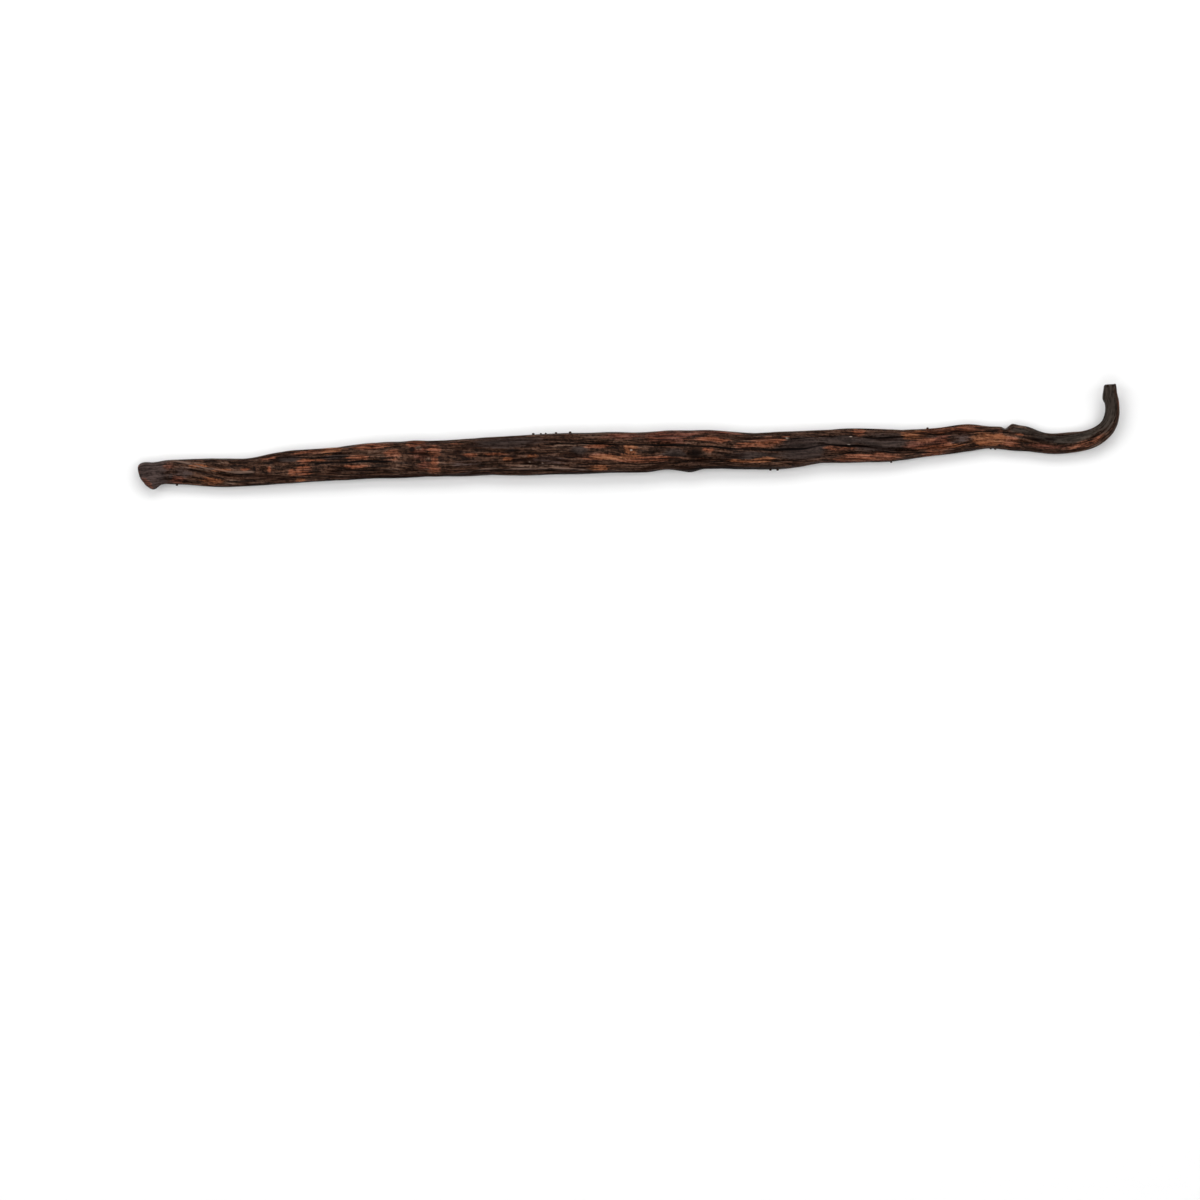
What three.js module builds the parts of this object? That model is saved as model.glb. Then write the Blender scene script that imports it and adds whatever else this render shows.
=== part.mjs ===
// One cured vanilla pod, lying on its broad face as it would on a table.
// It is a single piece: a long flattened body, a blunt blossom end with a dimpled scar,
// a torn collar where the body narrows, and a thin stem that hooks round to one side.
// The pod is turned as a straight spindle first, then pressed flat, creased and bent along its spine.
// Millimetres, +Z up, X along the pod from blossom end to stem, +Y towards the side the hook turns to.
import * as THREE from "three";

// How closely the surface is divided.
const SIDES = 32;
const STEP = 1.35;
const FINE_STEP = 0.45;

// The middle line seen from above, from the blossom end to the tip of the hook: x, y.
const SPINE = [
  [-90.2, -7.2], [-85.8, -6.7], [-73.8, -6.8], [-62.7, -5.7], [-45.1, -4.5], [-22.0, -3.6], [2.1, -3.0],
  [13.2, -2.5], [21.5, -2.8], [40.9, -1.8], [56.6, -1.1], [65.9, -0.3], [72.4, -0.7], [78.8, -1.4],
  [83.5, -0.8], [86.4, 0.4], [88.3, 2.0], [89.2, 4.1], [89.3, 6.1], [89.0, 7.8], [88.9, 9.6],
];

// Places along the spine, measured from the blossom end.
const KNUCKLE_AT = 50.8;
const COLLAR_AT = 159.7;
const WAIST_AT = 157;
const HOOK_FROM = 171;

// Full width of the pod seen from above, at distances along the spine: distance, width.
const WIDTHS = [
  [0, 4.1], [5, 4.3], [16, 4.9], [28, 5.7], [45, 6.5], [68, 6.8], [85, 7.5], [100, 7.2], [112, 6.5],
  [121, 6.4], [131, 5.9], [141, 5.7], [150, 5.0], [WAIST_AT, 4.0], [163, 3.7], [172, 3.6], [178, 3.1],
  [183, 2.7], [188, 2.4],
];

// Thickness as a share of the width: the body is pressed flatter than the stem.
const BODY_FLATNESS = 0.64;
const STEM_FLATNESS = 0.86;
// A section squarer than an ellipse, whose exponent would be 2.
const SECTION_POWER = 2.35;
// Share of the half thickness that the table presses flat.
const PRESSED = 0.1;
// How far the two ends rise off the table, and over what length at the blossom end.
const HOOK_LIFT = 2.6;
const BLOSSOM_LIFT = 0.5;
const BLOSSOM_LIFT_LENGTH = 14;
// The blossom end bulges most at this share of its half width and falls back on both sides of that:
// how fast it falls back, how far it bulges, and how soon along the pod both die away.
const BULGE_AT = 0.45;
const BULGE_BACK = 0.64;
const BULGE_REACH = 0.66;
const BULGE_LENGTH = 4;

// Outline of the two ends, as share of the radius and distance from the end.
const BLOSSOM_RIM = [[0, 0.55], [0.42, 0.42], [0.7, 0.06], [0.88, 0.12], [0.98, 0.5]];
const STEM_RIM = [[0, 0.35], [0.4, 0.28], [0.72, 0.02], [0.9, 0.12], [0.99, 0.45]];

// Around a section 0 degrees is the +Y edge, 90 the top, 180 the -Y edge and 270 the underside.
// Long creases: a route of [distance, angle] and a depth.
const CREASE_SPREAD = 8.5;
const CREASES = [
  {
    route: [
      [73, 60], [81, 60], [88.6, 67], [96, 75], [104, 83], [114, 86], [122, 90], [127, 85], [132.6, 92],
      [137, 100],
    ],
    depth: 0.6,
  },
  {
    route: [[118, 57], [126, 50], [131, 52], [135, 64], [140.4, 67], [147, 56], [152.6, 62], [159.4, 43]],
    depth: 0.5,
  },
  { route: [[12, 80], [14, 88], [16, 93], [22, 101]], depth: 0.3 },
  { route: [[22, 40], [25.8, 42], [33, 66], [46, 73]], depth: 0.4 },
  { route: [[31, 88], [38.6, 89], [48, 94], [58, 99]], depth: 0.45 },
  { route: [[31, 113], [37.6, 115], [41.2, 120], [53, 130]], depth: 0.35 },
  { route: [[60, 154], [70, 150], [80, 154], [86, 158]], depth: 0.4 },
  { route: [[76, 118], [100, 128], [122, 128], [132, 116], [150, 116]], depth: 0.4 },
  { route: [[161, 74], [164.5, 86], [168, 76], [174, 82]], depth: 0.3 },
  { route: [[10, 205], [30, 208], [70, 214]], depth: 0.35 },
  { route: [[84, 222], [120, 214], [150, 206]], depth: 0.4 },
  { route: [[30, 322], [70, 329], [110, 336]], depth: 0.4 },
  { route: [[104, 338], [130, 332], [158, 326]], depth: 0.35 },
];

// Low ridges all round: how many, how high, and how far they turn along the pod in degrees a millimetre.
const RIDGES = [
  { count: 3, height: 0.14, turn: 0.7, start: 40 },
  { count: 5, height: 0.1, turn: -1.1, start: 190 },
  { count: 8, height: 0.07, turn: 1.9, start: 75 },
];
// Slow swelling and shrinking of the whole section: height and wavelength.
const LUMPS = [[0.06, 23], [0.04, 11.3]];
// How far the two edges stand out besides: distance, distance out.
const UPPER_EDGE = [
  [0, 0], [6, 0.1], [11, 0.36], [16, 0.31], [20.5, -0.04], [28, 0.1], [36, -0.08], [42, 0.28], [52, -0.12],
  [58, 0.02], [64, 0.33], [70.5, 0.22], [77, 0.29], [83, 0.12], [87, 0.26], [93, -0.05], [97.5, 0.17],
  [102, 0.06], [110, 0.53], [117, 0.22], [125, 0.13], [132, 0.36], [139, -0.18], [147, -0.1], [153, 0.15],
  [156.5, 0.08], [159, 0.24], [164, -0.1], [168, -0.03], [172, 0.12], [178.5, -0.15], [184, 0.28], [188, 0.2],
];
const LOWER_EDGE = [
  [0, 0.1], [1.7, 0.38], [4, 0.1], [8, 0.05], [14, 0.2], [30, 0.18], [38, 0.15], [46, 0.06], [56, 0.1],
  [65, 0.3], [80, 0.05], [100, 0], [118, 0.05], [122, -0.14], [131, 0.43], [138, 0.3], [147, -0.28],
  [151.5, -0.08], [155, 0.3], [158, 0.4], [165, 0.15], [172, 0.08], [177, 0.38], [183, -0.2], [188, -0.28],
];
const EDGE_SPREAD = 50;

// Local swellings, or hollows where the height is negative: place, angle, height,
// how far they reach back and forth along the pod, and how far round it in degrees.
const SWELLINGS = [
  { at: 0.9, angle: 40, height: 0.34, back: 1.0, forth: 1.1, round: 55 },
  { at: 2.7, angle: 20, height: -0.2, back: 0.8, forth: 1.3, round: 50 },
  { at: 1.0, angle: 185, height: 0.5, back: 1.0, forth: 1.6, round: 35 },
  { at: 3.4, angle: 178, height: -0.2, back: 1.5, forth: 1.8, round: 50 },
  { at: KNUCKLE_AT, angle: 25, height: 0.26, back: 1.8, forth: 2.6, round: 60 },
  { at: 54.5, angle: 100, height: 0.22, back: 1.0, forth: 1.3, round: 70 },
  { at: 96.6, angle: 180, height: -0.35, back: 2.5, forth: 2.2, round: 45 },
  { at: 101.5, angle: 180, height: 0.45, back: 1.9, forth: 1.6, round: 45 },
  { at: 112, angle: 5, height: -0.2, back: 5, forth: 5, round: 60 },
  { at: 121.5, angle: 180, height: 0.3, back: 4.5, forth: 1.6, round: 50 },
  { at: 126, angle: 180, height: -0.35, back: 1.8, forth: 5, round: 50 },
  { at: 153.6, angle: 0, height: 0.38, back: 4.5, forth: 3, round: 50 },
  { at: WAIST_AT, angle: 180, height: -0.32, back: 2.6, forth: 3.4, round: 60 },
  { at: COLLAR_AT, angle: 8, height: -0.4, back: 0.45, forth: 0.4, round: 32 },
  { at: COLLAR_AT + 1.3, angle: 12, height: 0.82, back: 0.75, forth: 1.6, round: 38 },
  { at: COLLAR_AT + 3.9, angle: 12, height: 0.82, back: 1.7, forth: 2.4, round: 38 },
  { at: 185.2, angle: 0, height: 0.28, back: 0.8, forth: 0.9, round: 55 },
];

const { degToRad, lerp, smoothstep, clamp } = THREE.MathUtils;

// A smooth value along the pod through [distance, value] stations.
function curveThrough(stations) {
  const places = stations.map(([place]) => place);
  const values = stations.map(([, value]) => value);
  const interpolant = new THREE.CubicInterpolant(places, values, 1);
  const last = places[places.length - 1];
  return (along) => interpolant.evaluate(clamp(along, places[0], last))[0];
}

// A hump 1 high where it stands, dying away over its reach on each side.
function hump(distance, reach) {
  return Math.exp(-((distance / reach) ** 2));
}

// The shortest way round from one angle to another, in degrees.
function turnBetween(a, b) {
  return THREE.MathUtils.euclideanModulo(a - b + 180, 360) - 180;
}

const spine = new THREE.CatmullRomCurve3(
  SPINE.map(([x, y]) => new THREE.Vector3(x, y, 0)),
  false,
  "centripetal",
);
spine.arcLengthDivisions = 2000;
const LENGTH = spine.getLength();

const widthAt = curveThrough(WIDTHS);
const upperEdgeAt = curveThrough(UPPER_EDGE);
const lowerEdgeAt = curveThrough(LOWER_EDGE);
const creases = CREASES.map(({ route, depth }) => ({
  middleAt: curveThrough(route),
  from: route[0][0],
  to: route[route.length - 1][0],
  depth,
}));

function halfWidthAt(along) {
  const swells = LUMPS.map(([height, wave]) => height * Math.sin((along / wave) * 2 * Math.PI));
  const swell = swells.reduce((sum, height) => sum + height, 0);
  return widthAt(along) / 2 + swell * smoothstep(LENGTH - along, 0, 40);
}

function halfThicknessAt(along) {
  const flatness = lerp(BODY_FLATNESS, STEM_FLATNESS, smoothstep(along, WAIST_AT - 12, WAIST_AT + 12));
  return (widthAt(along) / 2) * flatness;
}

function liftAt(along) {
  const hook = HOOK_LIFT * smoothstep(along, HOOK_FROM, LENGTH);
  const blossom = BLOSSOM_LIFT * (1 - smoothstep(along, 0, BLOSSOM_LIFT_LENGTH));
  return hook + blossom;
}

function creaseDepth(along, degrees) {
  return creases.reduce((sum, { middleAt, from, to, depth }) => {
    const fade = Math.min(smoothstep(along, from, from + 6), 1 - smoothstep(along, to - 6, to));
    return sum + depth * fade * hump(turnBetween(degrees, middleAt(along)), CREASE_SPREAD);
  }, 0);
}

// The ridges are lower at the two edges, which are nearly straight.
function ridgeHeight(along, degrees) {
  const turns = RIDGES.map(
    ({ count, height, turn, start }) =>
      height * Math.cos(degToRad(count * degrees + start + turn * along + 25 * Math.sin(along * 0.13))),
  );
  const share = 0.3 + 0.7 * Math.sin(degToRad(degrees)) ** 2;
  return share * turns.reduce((sum, height) => sum + height, 0);
}

function edgeHeight(along, degrees) {
  const upper = upperEdgeAt(along) * hump(turnBetween(degrees, 0), EDGE_SPREAD);
  const lower = lowerEdgeAt(along) * hump(turnBetween(degrees, 180), EDGE_SPREAD);
  return upper + lower;
}

function swellingHeight(along, degrees) {
  return SWELLINGS.reduce((sum, { at, angle, height, back, forth, round }) => {
    const reach = along < at ? back : forth;
    return sum + height * hump(along - at, reach) * hump(turnBetween(degrees, angle), round);
  }, 0);
}

// How far the skin stands proud of the plain section, in millimetres.
function reliefAt(along, degrees) {
  const slender = widthAt(along) / 7;
  const shrivel = (ridgeHeight(along, degrees) - creaseDepth(along, degrees)) * slender;
  return shrivel + edgeHeight(along, degrees) + swellingHeight(along, degrees);
}

// A point of the flattened section, as [towards +Y, up], with the relief added square to the skin.
function sectionPoint(along, degrees, share) {
  const angle = degToRad(degrees);
  const across = Math.sign(Math.cos(angle)) * Math.abs(Math.cos(angle)) ** (2 / SECTION_POWER);
  const upward = Math.sign(Math.sin(angle)) * Math.abs(Math.sin(angle)) ** (2 / SECTION_POWER);
  const halfWidth = halfWidthAt(along);
  const halfThickness = halfThicknessAt(along);
  const outward = new THREE.Vector2(across / halfWidth, upward / halfThickness).normalize();
  const relief = reliefAt(along, degrees);
  return [
    (across * halfWidth + outward.x * relief) * share,
    (upward * halfThickness + outward.y * relief) * share,
  ];
}

// Where a point of the straight spindle goes on the finished pod.
function podPoint(along, degrees, share) {
  const place = clamp(along / LENGTH, 0, 1);
  const middle = spine.getPointAt(place);
  const ahead = spine.getTangentAt(place);
  const [across, upward] = sectionPoint(along, degrees, share);
  const beside = Math.cos(degToRad(degrees)) * share - BULGE_AT;
  const lean = (BULGE_BACK * beside ** 2 - BULGE_REACH) * (1 - smoothstep(along, 0, BULGE_LENGTH));
  const height = halfThicknessAt(along) * (1 - PRESSED) + liftAt(along) + upward;
  return new THREE.Vector3(
    middle.x - ahead.y * across + ahead.x * lean,
    middle.y + ahead.x * across + ahead.y * lean,
    Math.max(height, 0),
  );
}

// Distances along the pod at which it has a ring of vertices, closer together at the torn collar.
function ringPlaces() {
  const places = [];
  let along = 1.1;
  while (along < LENGTH - 1) {
    places.push(along);
    along += Math.abs(along - COLLAR_AT) < 2.5 || along < 4 ? FINE_STEP : STEP;
  }
  return places;
}

// The pod as a straight turned spindle of radius 1, from the dimple of one end to that of the other.
// The profile is turned starting from the stem, because bending the spindle mirrors it.
function spindle() {
  const profile = [
    ...BLOSSOM_RIM.map(([share, inset]) => new THREE.Vector2(share, inset)),
    ...ringPlaces().map((along) => new THREE.Vector2(1, along)),
    ...STEM_RIM.map(([share, inset]) => new THREE.Vector2(share, LENGTH - inset)).reverse(),
  ];
  return new THREE.LatheGeometry(profile.reverse(), SIDES);
}

function podGeometry() {
  const geometry = spindle();
  const vertices = geometry.getAttribute("position");
  for (let i = 0; i < vertices.count; i++) {
    const [x, along, z] = [vertices.getX(i), vertices.getY(i), vertices.getZ(i)];
    const degrees = THREE.MathUtils.radToDeg(Math.atan2(z, x));
    vertices.setXYZ(i, ...podPoint(along, degrees, Math.hypot(x, z)));
  }
  return standOnOrigin(geometry);
}

// Moves the pod so that the middle of the underside of its bounding box is the origin.
function standOnOrigin(geometry) {
  geometry.computeBoundingBox();
  const box = geometry.boundingBox;
  const middle = box.getCenter(new THREE.Vector3());
  geometry.translate(-middle.x, -middle.y, -box.min.z);
  geometry.computeVertexNormals();
  return geometry;
}

const skin = new THREE.MeshStandardMaterial({ color: 0x3c2c24, roughness: 0.5, metalness: 0 });

const pod = new THREE.Mesh(podGeometry(), skin);
pod.name = "pod";

const vanillaPod = new THREE.Group();
vanillaPod.add(pod);

export default vanillaPod;
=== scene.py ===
"""A cured vanilla pod on a pale table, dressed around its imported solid.

The pod is turned as a straight spindle, pressed flat, wrinkled and bent along its spine.
Distances along the pod are in millimetres from the blossom end. Round a section 0 degrees is
the +Y edge, 90 the top, 180 the -Y edge and 270 the underside. The finished meshes are in metres.
"""

import logging
import math
from dataclasses import dataclass
from enum import Enum

import bmesh
import bpy
import numpy as np
from mathutils import Matrix, Vector, noise


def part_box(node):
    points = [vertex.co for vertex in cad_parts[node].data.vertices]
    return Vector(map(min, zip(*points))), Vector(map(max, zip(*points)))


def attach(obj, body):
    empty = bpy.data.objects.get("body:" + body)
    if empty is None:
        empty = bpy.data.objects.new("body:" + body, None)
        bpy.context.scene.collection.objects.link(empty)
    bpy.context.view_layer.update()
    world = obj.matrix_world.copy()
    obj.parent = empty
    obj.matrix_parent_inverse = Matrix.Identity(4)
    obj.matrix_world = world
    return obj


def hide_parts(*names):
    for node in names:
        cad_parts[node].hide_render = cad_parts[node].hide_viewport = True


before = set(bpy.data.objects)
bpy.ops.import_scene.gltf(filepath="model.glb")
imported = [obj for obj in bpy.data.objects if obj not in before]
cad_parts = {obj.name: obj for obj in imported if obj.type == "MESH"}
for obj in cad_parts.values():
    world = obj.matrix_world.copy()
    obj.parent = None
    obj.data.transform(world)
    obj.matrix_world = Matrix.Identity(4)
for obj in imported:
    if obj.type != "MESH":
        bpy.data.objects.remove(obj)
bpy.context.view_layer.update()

log = logging.getLogger("vanilla_pod")

MM = 0.001

Colour = tuple[float, float, float]
Cell = tuple[float, float, float]
Limits = tuple[float, float]
Shares = tuple[float, ...]
Socket = bpy.types.NodeSocket


class Tint(Enum):
    """The colours that a stretch of skin can have besides the plain dark brown; a few of them stand for
    painted light or shade.
    """

    RUST = "rust"
    AMBER = "amber"
    RUSSET = "russet"
    SOOT = "soot"
    PLUM = "plum"
    ASH = "ash"
    # Partly the skin's own tan, partly painted highlight on edges and ridges that face the light.
    TAN = "tan"
    # Painted shade along the -Y edge and in small dark hollows.
    PITS_AND_SHADE = "pits_and_shade"
    # Painted glints: small pale highlights on ridges.
    PAINTED_GLINT = "pale"


@dataclass(frozen=True)
class Swelling:
    """A local swelling of the section, or a hollow where its height is negative."""

    along: float
    angle: float
    height: float
    back: float
    forth: float
    arc: float


@dataclass(frozen=True)
class Crease:
    """A long crease in the skin, or a raised fold where its depth is negative.

    The route is a list of places: distance along the pod and angle round it.
    """

    route: tuple[tuple[float, float], ...]
    depth: float
    width: float = 0.34
    fade: float = 5.0


@dataclass(frozen=True)
class Wrinkles:
    """Furrows that run with the pod: how far apart, how long, how deep, how sharp, how dark the painted
    shade at their bottoms is, and their seed.
    """

    spacing: float
    run: float
    depth: float
    sharpness: float
    darkness: float
    seed: float


@dataclass(frozen=True)
class Patch:
    """A stretch of skin with a tint: its middle, its reach along and round, and its strength."""

    along: float
    angle: float
    reach: float
    arc: float
    strength: float = 1.0


def smoothstep(value: np.ndarray | float, low: float, high: float) -> np.ndarray | float:
    """Eases from 0 at low to 1 at high.

    Args:
        value: Where to look.
        low: The last place that is still 0.
        high: The first place that is 1.

    Returns:
        The eased share, from 0 to 1.
    """
    share = np.clip((value - low) / (high - low), 0.0, 1.0)
    return share * share * (3.0 - 2.0 * share)


def hump(distance: np.ndarray, reach: np.ndarray | float) -> np.ndarray:
    """A hump 1 high in its middle, dying away over its reach on each side."""
    return np.exp(-((distance / reach) ** 2))


def turn_between(a: np.ndarray, b: np.ndarray | float) -> np.ndarray:
    """The shortest way round from angle b to angle a, in degrees."""
    return (a - b + 180.0) % 360.0 - 180.0


def wander(places: np.ndarray, seed: float) -> np.ndarray:
    """Smooth random values about 0 at many places.

    Args:
        places: One row of three coordinates for each place, in cells of the noise.
        seed: Shifts the noise, so that each use has its own.

    Returns:
        One value for each place, within about -1 and 1.
    """
    shift = Vector((seed * 17.3, seed * 31.7, seed * 7.9))
    return np.array([noise.noise(Vector(place) + shift) for place in places.tolist()])


class Course:
    """A smooth value along the pod through a few stations."""

    def __init__(self, stations: tuple[tuple[float, float], ...]) -> None:
        """Keeps the stations and works out the slope at each.

        Args:
            stations: Pairs of distance along the pod and value.
        """
        self.places, self.values = np.array(stations).T
        rises = np.diff(self.values) / np.diff(self.places)
        self.slopes = np.concatenate([rises[:1], (rises[1:] + rises[:-1]) / 2, rises[-1:]])

    def at(self, along: np.ndarray) -> np.ndarray:
        """The value at each distance along the pod.

        Args:
            along: Distances along the pod, held to those of the first and last stations.

        Returns:
            One value for each distance.
        """
        along = np.clip(along, self.places[0], self.places[-1])
        first = np.clip(np.searchsorted(self.places, along) - 1, 0, len(self.places) - 2)
        gap = self.places[first + 1] - self.places[first]
        share = (along - self.places[first]) / gap
        rest = 1.0 - share
        return (
            self.values[first] * (1.0 + 2.0 * share) * rest**2
            + self.values[first + 1] * (3.0 - 2.0 * share) * share**2
            + self.slopes[first] * gap * share * rest**2
            - self.slopes[first + 1] * gap * share**2 * rest
        )


class Spine:
    """The middle line of the pod seen from above: a smooth curve through chosen points."""

    STEPS = 300

    def __init__(self, points: tuple[tuple[float, float], ...]) -> None:
        """Draws the curve and measures it.

        Args:
            points: Places that the middle line passes through, x and y in millimetres.
        """
        chosen = np.array(points)
        ends = (2 * chosen[0] - chosen[1], 2 * chosen[-1] - chosen[-2])
        chosen = np.vstack([ends[0], chosen, ends[1]])
        spans = [self._span(chosen[i - 1:i + 3]) for i in range(1, len(chosen) - 2)]
        self.line = np.vstack([*spans, chosen[-2]])
        steps = np.linalg.norm(np.diff(self.line, axis=0), axis=1)
        self.places = np.concatenate([[0.0], np.cumsum(steps)])
        self.length = float(self.places[-1])
        ahead = np.gradient(self.line, self.places, axis=0)
        self.ahead = ahead / np.linalg.norm(ahead, axis=1)[:, None]

    def _span(self, corners: np.ndarray) -> np.ndarray:
        """One stretch of a centripetal Catmull-Rom curve.

        Args:
            corners: The four points around the stretch, which runs between the middle two.

        Returns:
            The points of the stretch, without its last.
        """
        before, start, stop, after = corners
        a, b, c = (np.linalg.norm(gap) ** 0.5 for gap in np.diff(corners, axis=0))
        leave = ((start - before) / a - (stop - before) / (a + b) + (stop - start) / b) * b
        reach = ((stop - start) / b - (after - start) / (b + c) + (after - stop) / c) * b
        t = np.linspace(0.0, 1.0, self.STEPS, endpoint=False)[:, None]
        return (
            start * (1 + 2 * t) * (1 - t) ** 2
            + stop * (3 - 2 * t) * t**2
            + leave * t * (1 - t) ** 2
            - reach * t**2 * (1 - t)
        )

    def point(self, along: np.ndarray) -> np.ndarray:
        """The points at these distances along the curve."""
        return np.column_stack([np.interp(along, self.places, line) for line in self.line.T])

    def heading(self, along: np.ndarray) -> np.ndarray:
        """The directions of the curve at these distances."""
        return np.column_stack([np.interp(along, self.places, way) for way in self.ahead.T])


def keep(mesh: bpy.types.Mesh, name: str, values: np.ndarray) -> None:
    """Keeps a number or a place for each vertex as an attribute that a finish can read."""
    kind, field = ("FLOAT", "value") if values.ndim == 1 else ("FLOAT_VECTOR", "vector")
    mesh.attributes.new(name, kind, "POINT").data.foreach_set(field, values.astype(np.float32).ravel())


def put(name: str, data: bpy.types.ID) -> bpy.types.Object:
    """Puts a mesh, a lamp or a camera in the scene.

    Args:
        name: The name of its object.
        data: What the object holds.

    Returns:
        The object.
    """
    thing = bpy.data.objects.new(name, data)
    bpy.context.scene.collection.objects.link(thing)
    return thing


@dataclass(frozen=True)
class Grain:
    """Random light and dark: its cells in millimetres, its finer layers and their strength."""

    cell: Cell
    layers: float
    lean: float = 0.55
    # How far the cells are bent.
    bend: float = 0.5


class Bench:
    """Lays out the nodes of one material."""

    def __init__(self, name: str) -> None:
        """Starts a material with a bare Principled shader.

        Args:
            name: The material's name.
        """
        self.material = bpy.data.materials.new(name)
        self.material.use_nodes = True
        self.tree = self.material.node_tree
        self.shader = self.tree.nodes["Principled BSDF"]

    def join(self, source: object, target: Socket) -> None:
        """Links a socket, or sets a plain number or colour, on an input.

        Args:
            source: The socket, the number or the colour.
            target: The input that takes it.
        """
        if isinstance(source, Socket):
            self.tree.links.new(source, target)
        elif isinstance(source, tuple) and len(target.default_value) == 4:
            target.default_value = (*source, 1.0)
        else:
            target.default_value = source

    def node(
        self, kind: str, output: str, inputs: dict[str | int, object], **settings: object
    ) -> Socket:
        """Adds one node.

        Args:
            kind: What sort of node it is.
            output: The output that is used.
            inputs: A socket, number or colour for each input.
            settings: The node's other settings.

        Returns:
            The output.
        """
        node = self.tree.nodes.new("ShaderNode" + kind)
        for name, value in settings.items():
            setattr(node, name, value)
        for name, source in inputs.items():
            self.join(source, node.inputs[name])
        return node.outputs[output]

    def attribute(self, name: str, output: str = "Fac") -> Socket:
        """Reads what the mesh keeps under a name: a number, or a place where Vector is asked."""
        return self.node("Attribute", output, {}, attribute_name=name)

    def grain(self, places: Socket, grain: Grain) -> Socket:
        """Spreads a grain over the skin.

        Args:
            places: Where on the skin, in millimetres.
            grain: The grain.

        Returns:
            A value from 0 to 1.
        """
        scale = tuple(1.0 / side for side in grain.cell)
        noise_of = {
            "Vector": self.node("Mapping", "Vector", {"Vector": places, "Scale": scale}),
            "Scale": 1.0, "Detail": grain.layers, "Roughness": grain.lean, "Distortion": grain.bend,
        }
        return self.node("TexNoise", "Fac", noise_of)

    def math(self, operation: str, a: object, b: object) -> Socket:
        """Works out one sum of two numbers, such as ADD."""
        return self.node("Math", "Value", {0: a, 1: b}, operation=operation)

    def mean(self, values: tuple[Socket, ...], shares: Shares) -> Socket:
        """Mixes several values, each by its share.

        Args:
            values: The values.
            shares: Their shares, in the same order.

        Returns:
            The mixed value.
        """
        parts = [self.math("MULTIPLY", value, share) for value, share in zip(values, shares)]
        total = parts[0]
        for part in parts[1:]:
            total = self.math("ADD", total, part)
        return total

    def between(self, value: Socket, limits: Limits, results: Limits = (0.0, 1.0)) -> Socket:
        """Spreads a value from the limits over the results, eased and held at both ends."""
        inputs = dict(zip(("From Min", "From Max", "To Min", "To Max"), (*limits, *results)))
        return self.node("MapRange", "Result", {"Value": value, **inputs}, interpolation_type="SMOOTHSTEP")

    def shades(self, value: Socket, stops: Shares, colours: tuple[Colour, ...]) -> Socket:
        """Turns a value into a colour through a few stops.

        Args:
            value: The value, from 0 to 1.
            stops: The values that have a colour of their own.
            colours: Those colours.

        Returns:
            The colour.
        """
        node = self.tree.nodes.new("ShaderNodeValToRGB")
        self.join(value, node.inputs["Fac"])
        elements = node.color_ramp.elements
        while len(elements) < len(stops):
            elements.new(0.5)
        for element, stop, colour in zip(elements, stops, colours):
            element.position = stop
            element.color = (*colour, 1.0)
        return node.outputs["Color"]

    def blend(self, share: Socket, under: object, over: object) -> Socket:
        """Lays one colour over another by a share."""
        return self.node("Mix", "Result", {"Factor": share, "A": under, "B": over}, data_type="RGBA")

    def dim(self, colour: Socket, share: Socket) -> Socket:
        """Makes a colour darker where the share is below 1, and lighter above."""
        return self.node("VectorMath", "Vector", {"Vector": colour, "Scale": share}, operation="SCALE")

    def relief(self, height: Socket, distance: float, strength: float) -> None:
        """Gives the shader a fine relief, its distance in metres."""
        inputs = {"Distance": distance, "Strength": strength, "Height": height}
        self.join(self.node("Bump", "Normal", inputs), self.shader.inputs["Normal"])


@dataclass(frozen=True)
class Stain:
    """The colours of one tint, and how strongly the fine fibres show in it."""

    deep: Colour
    usual: Colour
    light: Colour
    fibre: float = 0.85


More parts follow.
